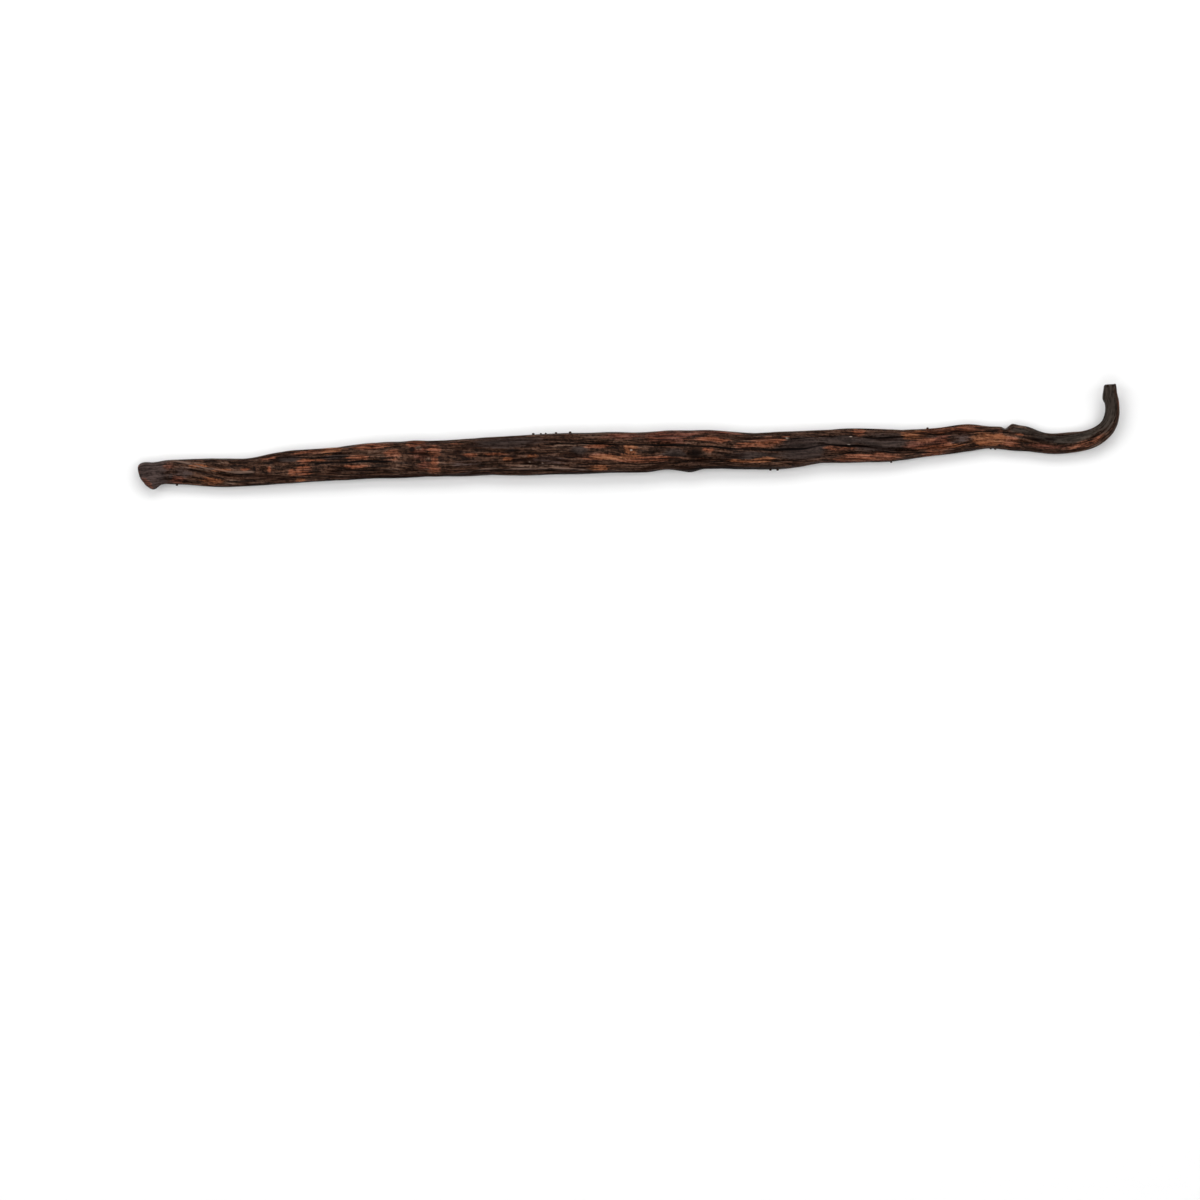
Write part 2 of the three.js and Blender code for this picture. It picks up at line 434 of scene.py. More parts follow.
@dataclass(frozen=True)
class CuredSkin:
    """The dark oily skin of a cured pod: brown-black, streaked with rust where it is scuffed, with painted
    shade in its furrows and creases, and crests and folds made lighter partly as wear and partly as
    painted highlight.
    """

    # The plain shades from darkest to lightest. The darkest paints the shade at the bottoms of the
    # creases; shadow also paints the shade in the furrows; the lightest also lightens crests and raised
    # folds, partly as wear and partly as painted highlight.
    crease_shade: Colour = (0.0014, 0.0004, 0.0002)
    shadow: Colour = (0.0074, 0.0017, 0.0006)
    dark: Colour = (0.0185, 0.0078, 0.0040)
    brown: Colour = (0.048, 0.0232, 0.0148)
    tan: Colour = (0.092, 0.054, 0.038)
    worn: Colour = (0.140, 0.089, 0.068)
    streaks: Grain = Grain((5.0, 0.35, 0.35), 2.0, 0.6)
    fibres: Grain = Grain((3.6, 0.22, 0.22), 1.0, 0.5)
    bands: Grain = Grain((7.0, 1.1, 1.1), 2.0)
    specks: Grain = Grain((0.6, 0.3, 0.3), 2.0, 0.65)
    # Streaks, bands and specks in the plain shades, and the stops from shadow to the lightest shade.
    tone_mix: Shares = (0.55, 0.1, 0.35)
    tone_stops: Shares = (0.35, 0.43, 0.53, 0.68, 0.82)
    # The same inside a tint, and the stops of its three colours.
    tint_mix: Shares = (0.5, 0.25, 0.25)
    tint_stops: Shares = (0.34, 0.48, 0.66)
    # Streaks, fibres and specks fray the edge of a tint: how far in and out, and how softly.
    fray_mix: Shares = (0.4, 0.35, 0.25)
    fray_limits: Limits = (0.36, 0.64)
    fray: Limits = (-0.4, 0.3)
    edge_limits: Limits = (0.1, 0.7)
    reach_limits: Limits = (0.03, 0.3)
    # Fibres and specks in the fine pattern, and how strongly it shows in the plain skin.
    fine_mix: Shares = (0.7, 0.3)
    fine_limits: Limits = (0.38, 0.62)
    fibre: float = 0.74
    # Crests made lighter, partly as wear and partly as painted highlight: from what height, in what
    # streaks, and by how much.
    crest_limits: Limits = (0.5, 0.8)
    crest_streaks: Limits = (0.52, 0.66)
    crest_wear_and_highlight: float = 0.3
    # Raised folds made lighter partly as wear and partly as painted highlight, then painted shade in the
    # furrows and at the bottoms of the creases.
    fold_limits: Limits = (0.3, 0.85)
    fold_streaks: Limits = (0.34, 0.5)
    furrow_limits: Limits = (0.25, 0.8)
    furrow_shade: float = 0.7
    crease_shade_limits: Limits = (0.3, 0.7)
    # Roughness of the skin, and its swing from speck to speck.
    gloss: float = 0.3
    gloss_limits: Limits = (0.3, 0.7)
    gloss_swing: Limits = (-0.06, 0.14)
    shine: float = 0.03
    # Fibres and specks in the pores, their depth in metres and their strength.
    pore_mix: Shares = (0.55, 0.45)
    pore_depth: float = 0.00016
    pore_strength: float = 0.8

    # In the order in which they lie over one another.
    STAINS = {
        Tint.SOOT: Stain((0.0190, 0.0118, 0.0094), (0.031, 0.0206, 0.0175), (0.046, 0.0318, 0.0274), 0.42),
        Tint.PLUM: Stain((0.020, 0.0125, 0.0108), (0.040, 0.0265, 0.0235), (0.062, 0.0430, 0.0390), 0.45),
        Tint.ASH: Stain((0.017, 0.0125, 0.0098), (0.0305, 0.0234, 0.0188), (0.048, 0.0375, 0.0306), 0.45),
        Tint.RUSSET: Stain((0.034, 0.0094, 0.0046), (0.069, 0.0224, 0.0132), (0.128, 0.0570, 0.0410), 0.7),
        Tint.RUST: Stain((0.047, 0.0132, 0.0056), (0.112, 0.0366, 0.0182), (0.190, 0.0830, 0.0520), 0.74),
        Tint.AMBER: Stain((0.055, 0.0175, 0.0068), (0.123, 0.0425, 0.0186), (0.204, 0.0880, 0.0455), 0.74),
        # Tan, partly painted highlight.
        Tint.TAN: Stain((0.030, 0.0165, 0.0105), (0.066, 0.0380, 0.0265), (0.125, 0.0780, 0.0570)),
        # Painted shade on the -Y edge and in small dark hollows.
        Tint.PITS_AND_SHADE: Stain((0.0030, 0.0012, 0.0008), (0.0055, 0.0022, 0.0014), (0.0110, 0.0050, 0.0034), 0.5),
        # Painted glints.
        Tint.PAINTED_GLINT: Stain((0.180, 0.120, 0.090), (0.320, 0.245, 0.200), (0.480, 0.400, 0.350), 0.1),
    }

    def fibrous(self, bench: Bench, colour: Socket, fine: Socket, fibre: float) -> Socket:
        """Shades a colour with the fine fibres, as strongly as it is told."""
        return bench.dim(colour, bench.between(fine, self.fine_limits, (1 - fibre, 1 + fibre)))

    def material(self) -> bpy.types.Material:
        """Makes the material.

        Returns:
            The material, which follows the pod's attributes.
        """
        bench = Bench("cured pod skin")
        skin = bench.attribute("unrolled", "Vector")
        streaks = bench.grain(skin, self.streaks)
        fibres = bench.grain(skin, self.fibres)
        bands = bench.grain(skin, self.bands)
        specks = bench.grain(skin, self.specks)

        tone = bench.mean((streaks, bands, specks), self.tone_mix)
        plain = (self.shadow, self.dark, self.brown, self.tan, self.worn)
        colour = bench.shades(tone, self.tone_stops, plain)
        ragged = bench.mean((streaks, fibres, specks), self.fray_mix)
        inside = bench.mean((streaks, bands, specks), self.tint_mix)
        fine = bench.mean((fibres, specks), self.fine_mix)
        colour = self.fibrous(bench, colour, fine, self.fibre)
        for tint, stain in self.STAINS.items():
            reach = bench.attribute(tint.value)
            edge = bench.math("ADD", reach, bench.between(ragged, self.fray_limits, self.fray))
            share = bench.between(edge, self.edge_limits)
            share = bench.math("MULTIPLY", share, bench.between(reach, self.reach_limits))
            own = bench.shades(inside, self.tint_stops, (stain.deep, stain.usual, stain.light))
            own = self.fibrous(bench, own, fine, stain.fibre)
            colour = bench.blend(share, colour, own)

        # Crests are made lighter, partly as wear and partly as painted highlight.
        rubbed_and_lit = bench.between(bench.attribute("crest"), self.crest_limits)
        rubbed_and_lit = bench.math("MULTIPLY", rubbed_and_lit, bench.between(streaks, self.crest_streaks))
        rubbed_and_lit = bench.math("MULTIPLY", rubbed_and_lit, self.crest_wear_and_highlight)
        colour = bench.blend(rubbed_and_lit, colour, self.worn)
        # Raised folds likewise, partly as wear and partly as painted highlight.
        fold = bench.between(bench.attribute("fold"), self.fold_limits)
        fold = bench.math("MULTIPLY", fold, bench.between(streaks, self.fold_streaks))
        colour = bench.blend(fold, colour, self.worn)
        # Painted shade in the furrows.
        sunk = bench.between(bench.attribute("furrow"), self.furrow_limits)
        colour = bench.blend(bench.math("MULTIPLY", sunk, self.furrow_shade), colour, self.shadow)
        # Painted shade, near black, at the bottoms of the creases.
        crease_shaded = bench.between(bench.attribute("crease_shade"), self.crease_shade_limits)
        colour = bench.blend(crease_shaded, colour, self.crease_shade)
        bench.join(colour, bench.shader.inputs["Base Color"])

        low, high = self.gloss_swing
        gloss = bench.between(specks, self.gloss_limits, (self.gloss + low, self.gloss + high))
        bench.join(gloss, bench.shader.inputs["Roughness"])
        bench.shader.inputs["Specular IOR Level"].default_value = self.shine
        pores = bench.mean((fibres, specks), self.pore_mix)
        bench.relief(pores, self.pore_depth, self.pore_strength)
        return bench.material


@dataclass(frozen=True)
class PlainFinish:
    """A finish of one colour, with its roughness and how much it shines."""

    name: str
    colour: Colour
    roughness: float
    shine: float

    def material(self) -> bpy.types.Material:
        """Makes the material.

        Returns:
            The material.
        """
        bench = Bench(self.name)
        bench.join(self.colour, bench.shader.inputs["Base Color"])
        bench.shader.inputs["Roughness"].default_value = self.roughness
        bench.shader.inputs["Specular IOR Level"].default_value = self.shine
        return bench.material


@dataclass(frozen=True)
class Creasing:
    """What the long creases do to the skin: how deep, how strong the painted shade at a bottom is, how
    near a raised fold.
    """

    depth: np.ndarray
    bottom: np.ndarray
    fold: np.ndarray


@dataclass(frozen=True)
class Skin:
    """Places on the finished skin in millimetres, and what the finish follows there."""

    places: np.ndarray
    unrolled: np.ndarray
    furrow: np.ndarray
    crease_shade: np.ndarray
    crest: np.ndarray
    fold: np.ndarray


@dataclass(frozen=True)
class PodForm:
    """The plain form of the pod: spine, section, ends, swellings and creases."""

    knuckle: float = 50.8
    waist: float = 157.0
    collar: float = 159.7
    hook: float = 171.0
    body_flatness: float = 0.64
    stem_flatness: float = 0.86
    section_power: float = 2.35
    pressed: float = 0.1
    hook_lift: float = 2.6
    blossom_lift: float = 0.5
    blossom_lift_length: float = 14.0
    # The blossom end bulges most at this share of the half width, and falls back from there.
    bulge_at: float = 0.45
    bulge_back: float = 0.64
    bulge_reach: float = 0.66
    bulge_length: float = 4.0
    # The slow lumps die away over this length before the tip.
    lump_fade: float = 40.0
    # The body's flatness turns into the stem's over this length on each side of the waist.
    waist_reach: float = 12.0
    # Ridges and creases have their full size where the pod is this wide.
    full_width: float = 7.0
    # The ridges swing this many degrees to each side, and keep this share at the two edges.
    ridge_swing: float = 25.0
    ridge_pace: float = 0.13
    ridge_at_edge: float = 0.3
    # How far round the pod its edges' own lines reach, in degrees.
    edge_arc: float = 50.0
    # Creases waver by this many degrees, and their depth swings about its usual share.
    crease_waver: float = 1.0
    crease_waver_pace: float = 0.9
    crease_usual: float = 0.9
    crease_swing: float = 0.2
    crease_swing_pace: float = 0.55
    # A crease is a sharp cut with a broad hollow round it, so many times as wide.
    sharp_share: float = 0.82
    sharp_power: float = 1.4
    hollow_reach: float = 2.8
    # A crease's bottom is painted black as shade from the first depth, fully so from the second, and this
    # narrow.
    black_from: float = 0.1
    black_at: float = 0.45
    bottom_reach: float = 0.46

    SPINE = Spine((
        (-90.2, -7.2), (-85.8, -6.7), (-73.8, -6.8), (-62.7, -5.7), (-45.1, -4.5), (-22.0, -3.6),
        (2.1, -3.0), (13.2, -2.5), (21.5, -2.8), (40.9, -1.8), (56.6, -1.1), (65.9, -0.3),
        (72.4, -0.7), (78.8, -1.4), (83.5, -0.8), (86.4, 0.4), (88.3, 2.0), (89.2, 4.1),
        (89.3, 6.1), (89.0, 7.8), (88.9, 9.6),
    ))
    WIDTH = Course((
        (0, 4.1), (5, 4.3), (16, 4.9), (28, 5.7), (45, 6.5), (68, 6.8), (85, 7.5), (100, 7.2),
        (112, 6.5), (121, 6.4), (131, 5.9), (141, 5.7), (150, 5.0), (157, 4.0), (163, 3.7),
        (172, 3.6), (178, 3.1), (183, 2.7), (188, 2.4),
    ))
    # How far the grain of the skin has turned round the pod, in degrees.
    GRAIN_TURN = Course((
        (0, 0), (6, 4), (20, 50), (35, 74), (45, 84), (75, 104), (105, 130), (120, 138),
        (140, 158), (160, 162), (188, 172),
    ))
    # Slow lumps of the width: height, and distance from one to the next.
    LUMPS = ((0.06, 23.0), (0.04, 11.3))
    # How far the two edges stand out besides: distance along the pod, millimetres out.
    UPPER_EDGE = Course((
        (0, 0), (6, 0.1), (11, 0.36), (16, 0.31), (20.5, -0.04), (28, 0.1), (36, -0.08), (42, 0.28),
        (52, -0.12), (58, 0.02), (64, 0.33), (70.5, 0.22), (77, 0.29), (83, 0.12), (87, 0.26),
        (93, -0.05), (97.5, 0.17), (102, 0.06), (110, 0.53), (117, 0.22), (125, 0.13), (132, 0.36),
        (139, -0.18), (147, -0.1), (153, 0.15), (156.5, 0.08), (159, 0.24), (164, -0.1), (168, -0.03),
        (172, 0.12), (178.5, -0.15), (184, 0.28), (188, 0.2),
    ))
    LOWER_EDGE = Course((
        (0, 0.1), (1.7, 0.38), (4, 0.1), (8, 0.05), (14, 0.2), (30, 0.18), (38, 0.15), (46, 0.06),
        (56, 0.1), (65, 0.3), (80, 0.05), (100, 0), (118, 0.05), (122, -0.14), (131, 0.43), (138, 0.3),
        (147, -0.28), (151.5, -0.08), (155, 0.3), (158, 0.4), (165, 0.15), (172, 0.08), (177, 0.38),
        (183, -0.2), (188, -0.28),
    ))
    # Low ridges all round: count, height, turn in degrees a millimetre, start in degrees.
    RIDGES = ((3, 0.14, 0.7, 40.0), (5, 0.1, -1.1, 190.0), (8, 0.07, 1.9, 75.0))
    SWELLINGS = (
        Swelling(0.9, 40, 0.34, 1.0, 1.1, 55),
        Swelling(2.7, 20, -0.2, 0.8, 1.3, 50),
        Swelling(1.0, 185, 0.5, 1.0, 1.6, 35),
        Swelling(3.4, 178, -0.2, 1.5, 1.8, 50),
        Swelling(50.8, 25, 0.26, 1.8, 2.6, 60),
        Swelling(54.5, 100, 0.22, 1.0, 1.3, 70),
        Swelling(96.6, 180, -0.35, 2.5, 2.2, 45),
        Swelling(101.5, 180, 0.45, 1.9, 1.6, 45),
        Swelling(112, 5, -0.2, 5.0, 5.0, 60),
        Swelling(121.5, 180, 0.3, 4.5, 1.6, 50),
        Swelling(126, 180, -0.35, 1.8, 5.0, 50),
        Swelling(153.6, 0, 0.38, 4.5, 3.0, 50),
        Swelling(157, 180, -0.32, 2.6, 3.4, 60),
        Swelling(159.7, 8, -0.4, 0.45, 0.4, 32),
        Swelling(161.0, 12, 0.82, 0.75, 1.6, 38),
        Swelling(163.6, 12, 0.82, 1.7, 2.4, 38),
        Swelling(185.2, 0, 0.28, 0.8, 0.9, 55),
    )
    CREASES = (
        # The long fold over the upper side, and the one that follows it to the torn collar.
        Crease(((73, 60), (81, 60), (85, 63), (88.6, 67), (92, 70), (96, 75), (99.6, 79), (104, 83),
                (110, 84), (114, 86), (119.4, 90), (122, 90), (126.2, 85), (129, 87), (132.6, 92),
                (137, 100)), 0.55, 0.34, 3.0),
        Crease(((118.5, 57), (123, 52), (127, 50), (131, 52), (134.8, 64), (140.4, 67), (144.6, 61),
                (147, 56), (152.6, 62), (156, 54), (159.4, 43)), 0.42, 0.28, 2.0),
        # The raised fold behind the blossom end, with its furrow.
        Crease(((4, 16), (6.6, 37), (9.8, 58), (11.6, 71), (14, 80), (15.4, 84), (18.2, 90), (22, 94)),
               -0.25, 0.2, 2.0),
        Crease(((12, 80), (14, 88), (16, 93), (18.4, 97), (22, 101)), 0.36, 0.24, 2.0),
        # The raised fold low on the -Y side.
        Crease(((60, 135), (66, 131), (72, 132), (80, 136), (84, 141)), -0.2, 0.24, 3.0),
        Crease(((58, 150), (66, 147), (74, 148), (80, 151), (86, 155)), 0.42, 0.34, 4.0),
        # Furrows of the first third.
        Crease(((22, 40), (25.8, 42), (29.4, 58), (33, 66), (46, 73)), 0.4, 0.3),
        Crease(((31, 88), (35.8, 88), (38.6, 89), (44, 91), (48, 94)), 0.5, 0.34, 2.0),
        Crease(((31, 113), (35, 113), (37.6, 115), (41.2, 120), (47.8, 120)), 0.34, 0.28),
        Crease(((36, 40), (44, 52), (52, 60)), 0.26, 0.24),
        Crease(((40, 134), (46, 138), (54, 140)), 0.3, 0.26),
        # Furrows of the middle.
        Crease(((54, 68), (64, 77), (72, 84), (84, 90), (94, 98), (104, 106)), 0.3, 0.26),
        Crease(((76, 118), (88, 122), (100, 128), (112, 130)), 0.34, 0.3),
        Crease(((60, 112), (70, 120), (80, 128)), 0.28, 0.26),
        Crease(((96, 40), (106, 48), (116, 50)), 0.22, 0.22),
        # Furrows towards the waist, and the pits of the stem.
        Crease(((112, 128), (122, 128), (132, 116), (142, 118), (150, 116)), 0.36, 0.3),
        Crease(((134, 112), (138.6, 121), (143, 131), (147, 136)), 0.4, 0.3, 2.0),
        Crease(((136, 84), (146, 90), (154, 98)), 0.24, 0.24),
        Crease(((161, 74), (164.5, 86), (168, 76), (174, 82)), 0.3, 0.26),
        Crease(((160, 104), (168, 102), (178, 106)), 0.2, 0.24),
        # The low raised line along the outside of the hook, which the finish lightens as a painted rim
        # highlight.
        Crease(((173, 142), (177, 152), (181, 156), (187, 156)), -0.06, 0.3, 2.0),
        # The sides and the underside.
        Crease(((10, 205), (30, 208), (70, 214)), 0.4, 0.4),
        Crease(((84, 222), (120, 214), (150, 206)), 0.42, 0.4),
        Crease(((30, 322), (70, 329), (110, 336)), 0.42, 0.4),
        Crease(((104, 338), (130, 332), (158, 326)), 0.4, 0.4),
        Crease(((14, 262), (40, 250), (76, 258)), 0.4, 0.4),
        Crease(((62, 286), (96, 276), (130, 290)), 0.4, 0.4),
        Crease(((120, 248), (144, 262), (166, 256)), 0.36, 0.36),
    )

    def half_width(self, along: np.ndarray) -> np.ndarray:
        """Half of the pod's width seen from above, with its slow lumps."""
        swell = sum(height * np.sin(along / wave * 2 * math.pi) for height, wave in self.LUMPS)
        return self.WIDTH.at(along) / 2 + swell * smoothstep(self.SPINE.length - along, 0, self.lump_fade)

    def half_thickness(self, along: np.ndarray) -> np.ndarray:
        """Half of the pod's height: the body is pressed flatter than the stem.

        Args:
            along: Distances along the pod.

        Returns:
            The half height at each distance.
        """
        share = smoothstep(along, self.waist - self.waist_reach, self.waist + self.waist_reach)
        flatness = self.body_flatness + (self.stem_flatness - self.body_flatness) * share
        return self.WIDTH.at(along) / 2 * flatness

    def lift(self, along: np.ndarray) -> np.ndarray:
        """How far the two ends rise off the table."""
        blossom = self.blossom_lift * (1 - smoothstep(along, 0, self.blossom_lift_length))
        return blossom + self.hook_lift * smoothstep(along, self.hook, self.SPINE.length)

    def low_relief(self, along: np.ndarray, degrees: np.ndarray) -> np.ndarray:
        """The broad ridges, swellings and hollows.

        Args:
            along: Distances along the pod.
            degrees: Angles round it.

        Returns:
            How far the skin stands proud of the plain section, in millimetres.
        """
        height = np.zeros_like(along)
        for count, rise, turn, start in self.RIDGES:
            swing = self.ridge_swing * np.sin(along * self.ridge_pace)
            phase = count * degrees + start + turn * along + swing
            height += rise * np.cos(np.radians(phase)) * self.WIDTH.at(along) / self.full_width
        broad = 1 - self.ridge_at_edge
        height *= self.ridge_at_edge + broad * np.sin(np.radians(degrees)) ** 2
        height += self.UPPER_EDGE.at(along) * hump(turn_between(degrees, 0), self.edge_arc)
        height += self.LOWER_EDGE.at(along) * hump(turn_between(degrees, 180), self.edge_arc)
        for bump in self.SWELLINGS:
            reach = np.where(along < bump.along, bump.back, bump.forth)
            round_it = hump(turn_between(degrees, bump.angle), bump.arc)
            height += bump.height * hump(along - bump.along, reach) * round_it
        return height

    def creasing(self, along: np.ndarray, degrees: np.ndarray) -> Creasing:
        """The long creases.

        Args:
            along: Distances along the pod.
            degrees: Angles round it.

        Returns:
            What they do to the skin at each place.
        """
        depth = np.zeros_like(along)
        bottom = np.zeros_like(along)
        fold = np.zeros_like(along)
        girth = np.radians(1.0) * (self.half_width(along) + self.half_thickness(along)) / 2
        for crease in self.CREASES:
            places = np.array(crease.route)[:, 0]
            middle = Course(crease.route).at(along)
            middle += self.crease_waver * np.sin(along * self.crease_waver_pace + places[0])
            ease_in = smoothstep(along, places[0], places[0] + crease.fade)
            ease_out = 1 - smoothstep(along, places[-1] - crease.fade, places[-1])
            away = np.abs(turn_between(degrees, middle)) * girth
            slender = np.sqrt(self.WIDTH.at(along) / self.full_width)
            swing = self.crease_swing * np.sin(along * self.crease_swing_pace + places[-1])
            here = ease_in * ease_out * slender * (self.crease_usual + swing)
            sharp = np.exp(-((away / crease.width) ** self.sharp_power))
            hollow = hump(away, crease.width * self.hollow_reach)
            depth += crease.depth * here * (self.sharp_share * sharp + (1 - self.sharp_share) * hollow)
            if crease.depth >= 0:
                black = smoothstep(crease.depth, self.black_from, self.black_at)
                cut = hump(away, crease.width * self.bottom_reach)
                bottom = np.maximum(bottom, here * black * cut)
            else:
                fold = np.maximum(fold, here * hump(away, crease.width))
        return Creasing(depth, bottom, fold)


# The patches of each tint from the blossom end on, each row the numbers of a Patch. Those at 180
# degrees and more can't be seen from above.
PATCHES = {
    Tint.RUST: (
        (18, 262, 5, 22, 0.8), (19.4, 80, 1.0, 8, 0.8), (22, 212, 6, 14, 0.8), (23.6, 92, 0.3, 10),
        (23.8, 40, 1.4, 14, 0.9), (27.8, 108, 0.6, 15, 0.9), (30.0, 104, 1.5, 19), (30.4, 76, 1.3, 9),
        (31.2, 32, 3.1, 17, 0.7), (33.2, 76, 1.8, 4, 0.6), (36, 330, 7, 14, 0.8),
        (39.6, 102, 2.4, 7, 0.9), (40.0, 78, 2.1, 9), (42.6, 29, 4.1, 20), (46.6, 72, 1.5, 17, 0.8),
        (47, 284, 7, 18, 0.9), (51.0, 32, 1.8, 24, 0.8), (54.0, 122, 1.2, 20, 0.9),
        (54.2, 70, 1.2, 20, 0.9), (54.2, 97, 0.8, 16, 0.9), (58.4, 43, 1.2, 9, 0.6), (60.8, 86, 1.3, 5),
        (64, 205, 8, 12, 0.8), (65.4, 86, 2.1, 4, 0.9), (84.6, 72, 2.6, 6), (86.4, 98, 4.2, 8),
        (88, 322, 9, 12, 0.8), (93.6, 109, 5.6, 10, 0.9), (94, 248, 8, 18, 0.9),
        (103.4, 114, 1.0, 5, 0.6), (104.8, 90, 1.0, 7, 0.8), (105.4, 58, 3.2, 15, 0.9),
        (106, 292, 6, 20, 0.8), (111.6, 74, 2.0, 10), (116.0, 62, 2.9, 18, 0.9),
        (119.2, 47, 1.1, 12, 0.5), (127.6, 92, 1.3, 5), (129.8, 99, 2.3, 7, 0.8),
        (131, 262, 9, 16, 0.9), (132.8, 30, 1.2, 24), (134.0, 141, 6.1, 22), (145.0, 84, 1.8, 6, 0.8),
        (146.6, 150, 2.1, 28, 0.9), (147.6, 26, 2.6, 28), (147.6, 110, 4.2, 12),
        (149.8, 30, 1.8, 20, 0.9), (152.6, 34, 3.2, 24), (158.8, 62, 0.6, 26),
        (160.8, 114, 2.1, 30, 0.9), (162.4, 64, 0.8, 7), (168, 240, 7, 22, 0.8),
        (174.6, 117, 3.3, 24, 0.65),
    ),
    Tint.AMBER: (
        (10.4, 62, 1.7, 11, 0.8), (13.0, 128, 2.1, 23), (14.8, 81, 1.8, 5, 0.9),
        (29.2, 151, 0.8, 14, 0.8), (35.2, 27, 1.9, 30), (58, 250, 3, 20, 0.8), (67.8, 98, 0.9, 6),
        (72.4, 92, 0.9, 5), (84.6, 136, 1.9, 12), (87.4, 99, 4.6, 6, 0.9), (90.4, 81, 1.3, 13),
        (110.8, 122, 3.0, 7, 0.9), (115.0, 118, 2.0, 12), (142.8, 64, 2.0, 14), (143.2, 48, 2.3, 28),
        (150.6, 111, 1.4, 9, 0.8), (156.6, 98, 3.0, 40),
    ),
    Tint.RUSSET: (
        # The second patch, at the lower corner of the blossom end, is a painted red-brown glint.
        (0.0, 50, 0.3, 60, 0.7), (0.6, 141, 0.7, 35, 0.9), (5.0, 62, 1.0, 20, 0.7), (6.6, 130, 1.3, 26),
        (51.4, 64, 1.7, 26, 0.7), (52.4, 106, 1.5, 24, 0.6), (89.2, 35, 3.9, 16, 0.9),
        (97.6, 41, 4.8, 31), (106.5, 20, 5.0, 14, 0.8), (108, 200, 12, 16, 0.8), (124, 335, 8, 16, 0.8),
        (143.6, 96, 2.6, 16, 0.8), (147.0, 82, 2.8, 20), (150, 285, 7, 24, 0.8),
        (167.2, 110, 4.7, 18, 0.7), (184.0, 150, 0.3, 22, 0.8),
    ),
    Tint.SOOT: (
        (27.0, 60, 2.4, 15, 0.9), (35.6, 68, 2.3, 13, 0.9), (67.6, 48, 6.9, 24, 0.8),
        (76, 270, 9, 50, 0.8), (81.0, 82, 1.6, 13, 0.8), (98.6, 97, 2.4, 12, 0.8),
        (112.6, 104, 6.0, 13, 0.8), (122.4, 88, 4.6, 40), (129.0, 70, 4.6, 22, 0.9),
        (137.2, 84, 5.6, 34, 0.9),
    ),
    Tint.PLUM: (
        (1.5, 90, 3.4, 200, 0.9), (5.4, 106, 0.4, 15), (7.4, 92, 2.2, 26, 0.5),
        (60.4, 107, 3.7, 14, 0.4), (74.6, 106, 4.6, 16, 0.4), (151.8, 84, 3.4, 20, 0.45),
        (187.6, 90, 1.2, 90, 0.7),
    ),
    Tint.ASH: (
        (164.0, 34, 3.6, 34, 0.8), (172, 62, 8, 34, 0.9), (184, 60, 7, 64),
    ),
    # Partly the skin's own tan, partly painted highlights on the knuckle, the lobe's top rim and the
    # outside of the hook.
    Tint.TAN: (
        (13.6, 44, 5.4, 5, 0.5), (16.6, 132, 1.8, 21, 0.5), (46.6, 108, 2.6, 6, 0.25),
        (51.4, 58, 0.8, 8, 0.8), (52.8, 123, 0.6, 6, 0.6), (53.0, 92, 0.9, 4, 0.6),
        (74.0, 124, 6.0, 10, 0.4), (79.4, 68, 4.0, 3, 0.5), (146.2, 68, 1.3, 8, 0.8),
        (162.6, 16, 2.6, 14), (178.6, 152, 0.6, 30, 0.8), (180.5, 160, 6.5, 10, 0.9),
        (180.6, 147, 0.3, 35, 0.7),
    ),
    # Painted shade: the long patches near 170 degrees shade the -Y edge, the small ones darken hollows on
    # the skin.
    Tint.PITS_AND_SHADE: (
        (20.8, 84, 0.2, 13), (22, 172, 10, 14, 0.5), (50, 170, 13, 15, 0.8), (50.2, 62, 0.6, 10, 0.9),
        (68.6, 78, 1.7, 5, 0.8), (84, 172, 13, 13, 0.8), (102.4, 98, 1.6, 12, 0.9),
        (108, 166, 11, 18, 0.9), (146, 176, 12, 11, 0.5), (165, 174, 7, 14, 0.7),
        (165.6, 80, 1.2, 8, 0.9), (168.2, 68, 1.3, 10, 0.9),
    ),
    # Painted glints on ridges.
    Tint.PAINTED_GLINT: (
        (71.8, 108, 0.22, 2.5, 0.7), (74.0, 112, 0.26, 2.4, 0.9), (90.6, 85, 0.2, 2.4, 0.9),
        (119.6, 52, 0.34, 4.5), (130.8, 88, 0.22, 2.5, 0.7), (131.4, 57, 0.22, 3),
        (135.6, 112, 0.22, 2.5, 0.7),
    ),
}


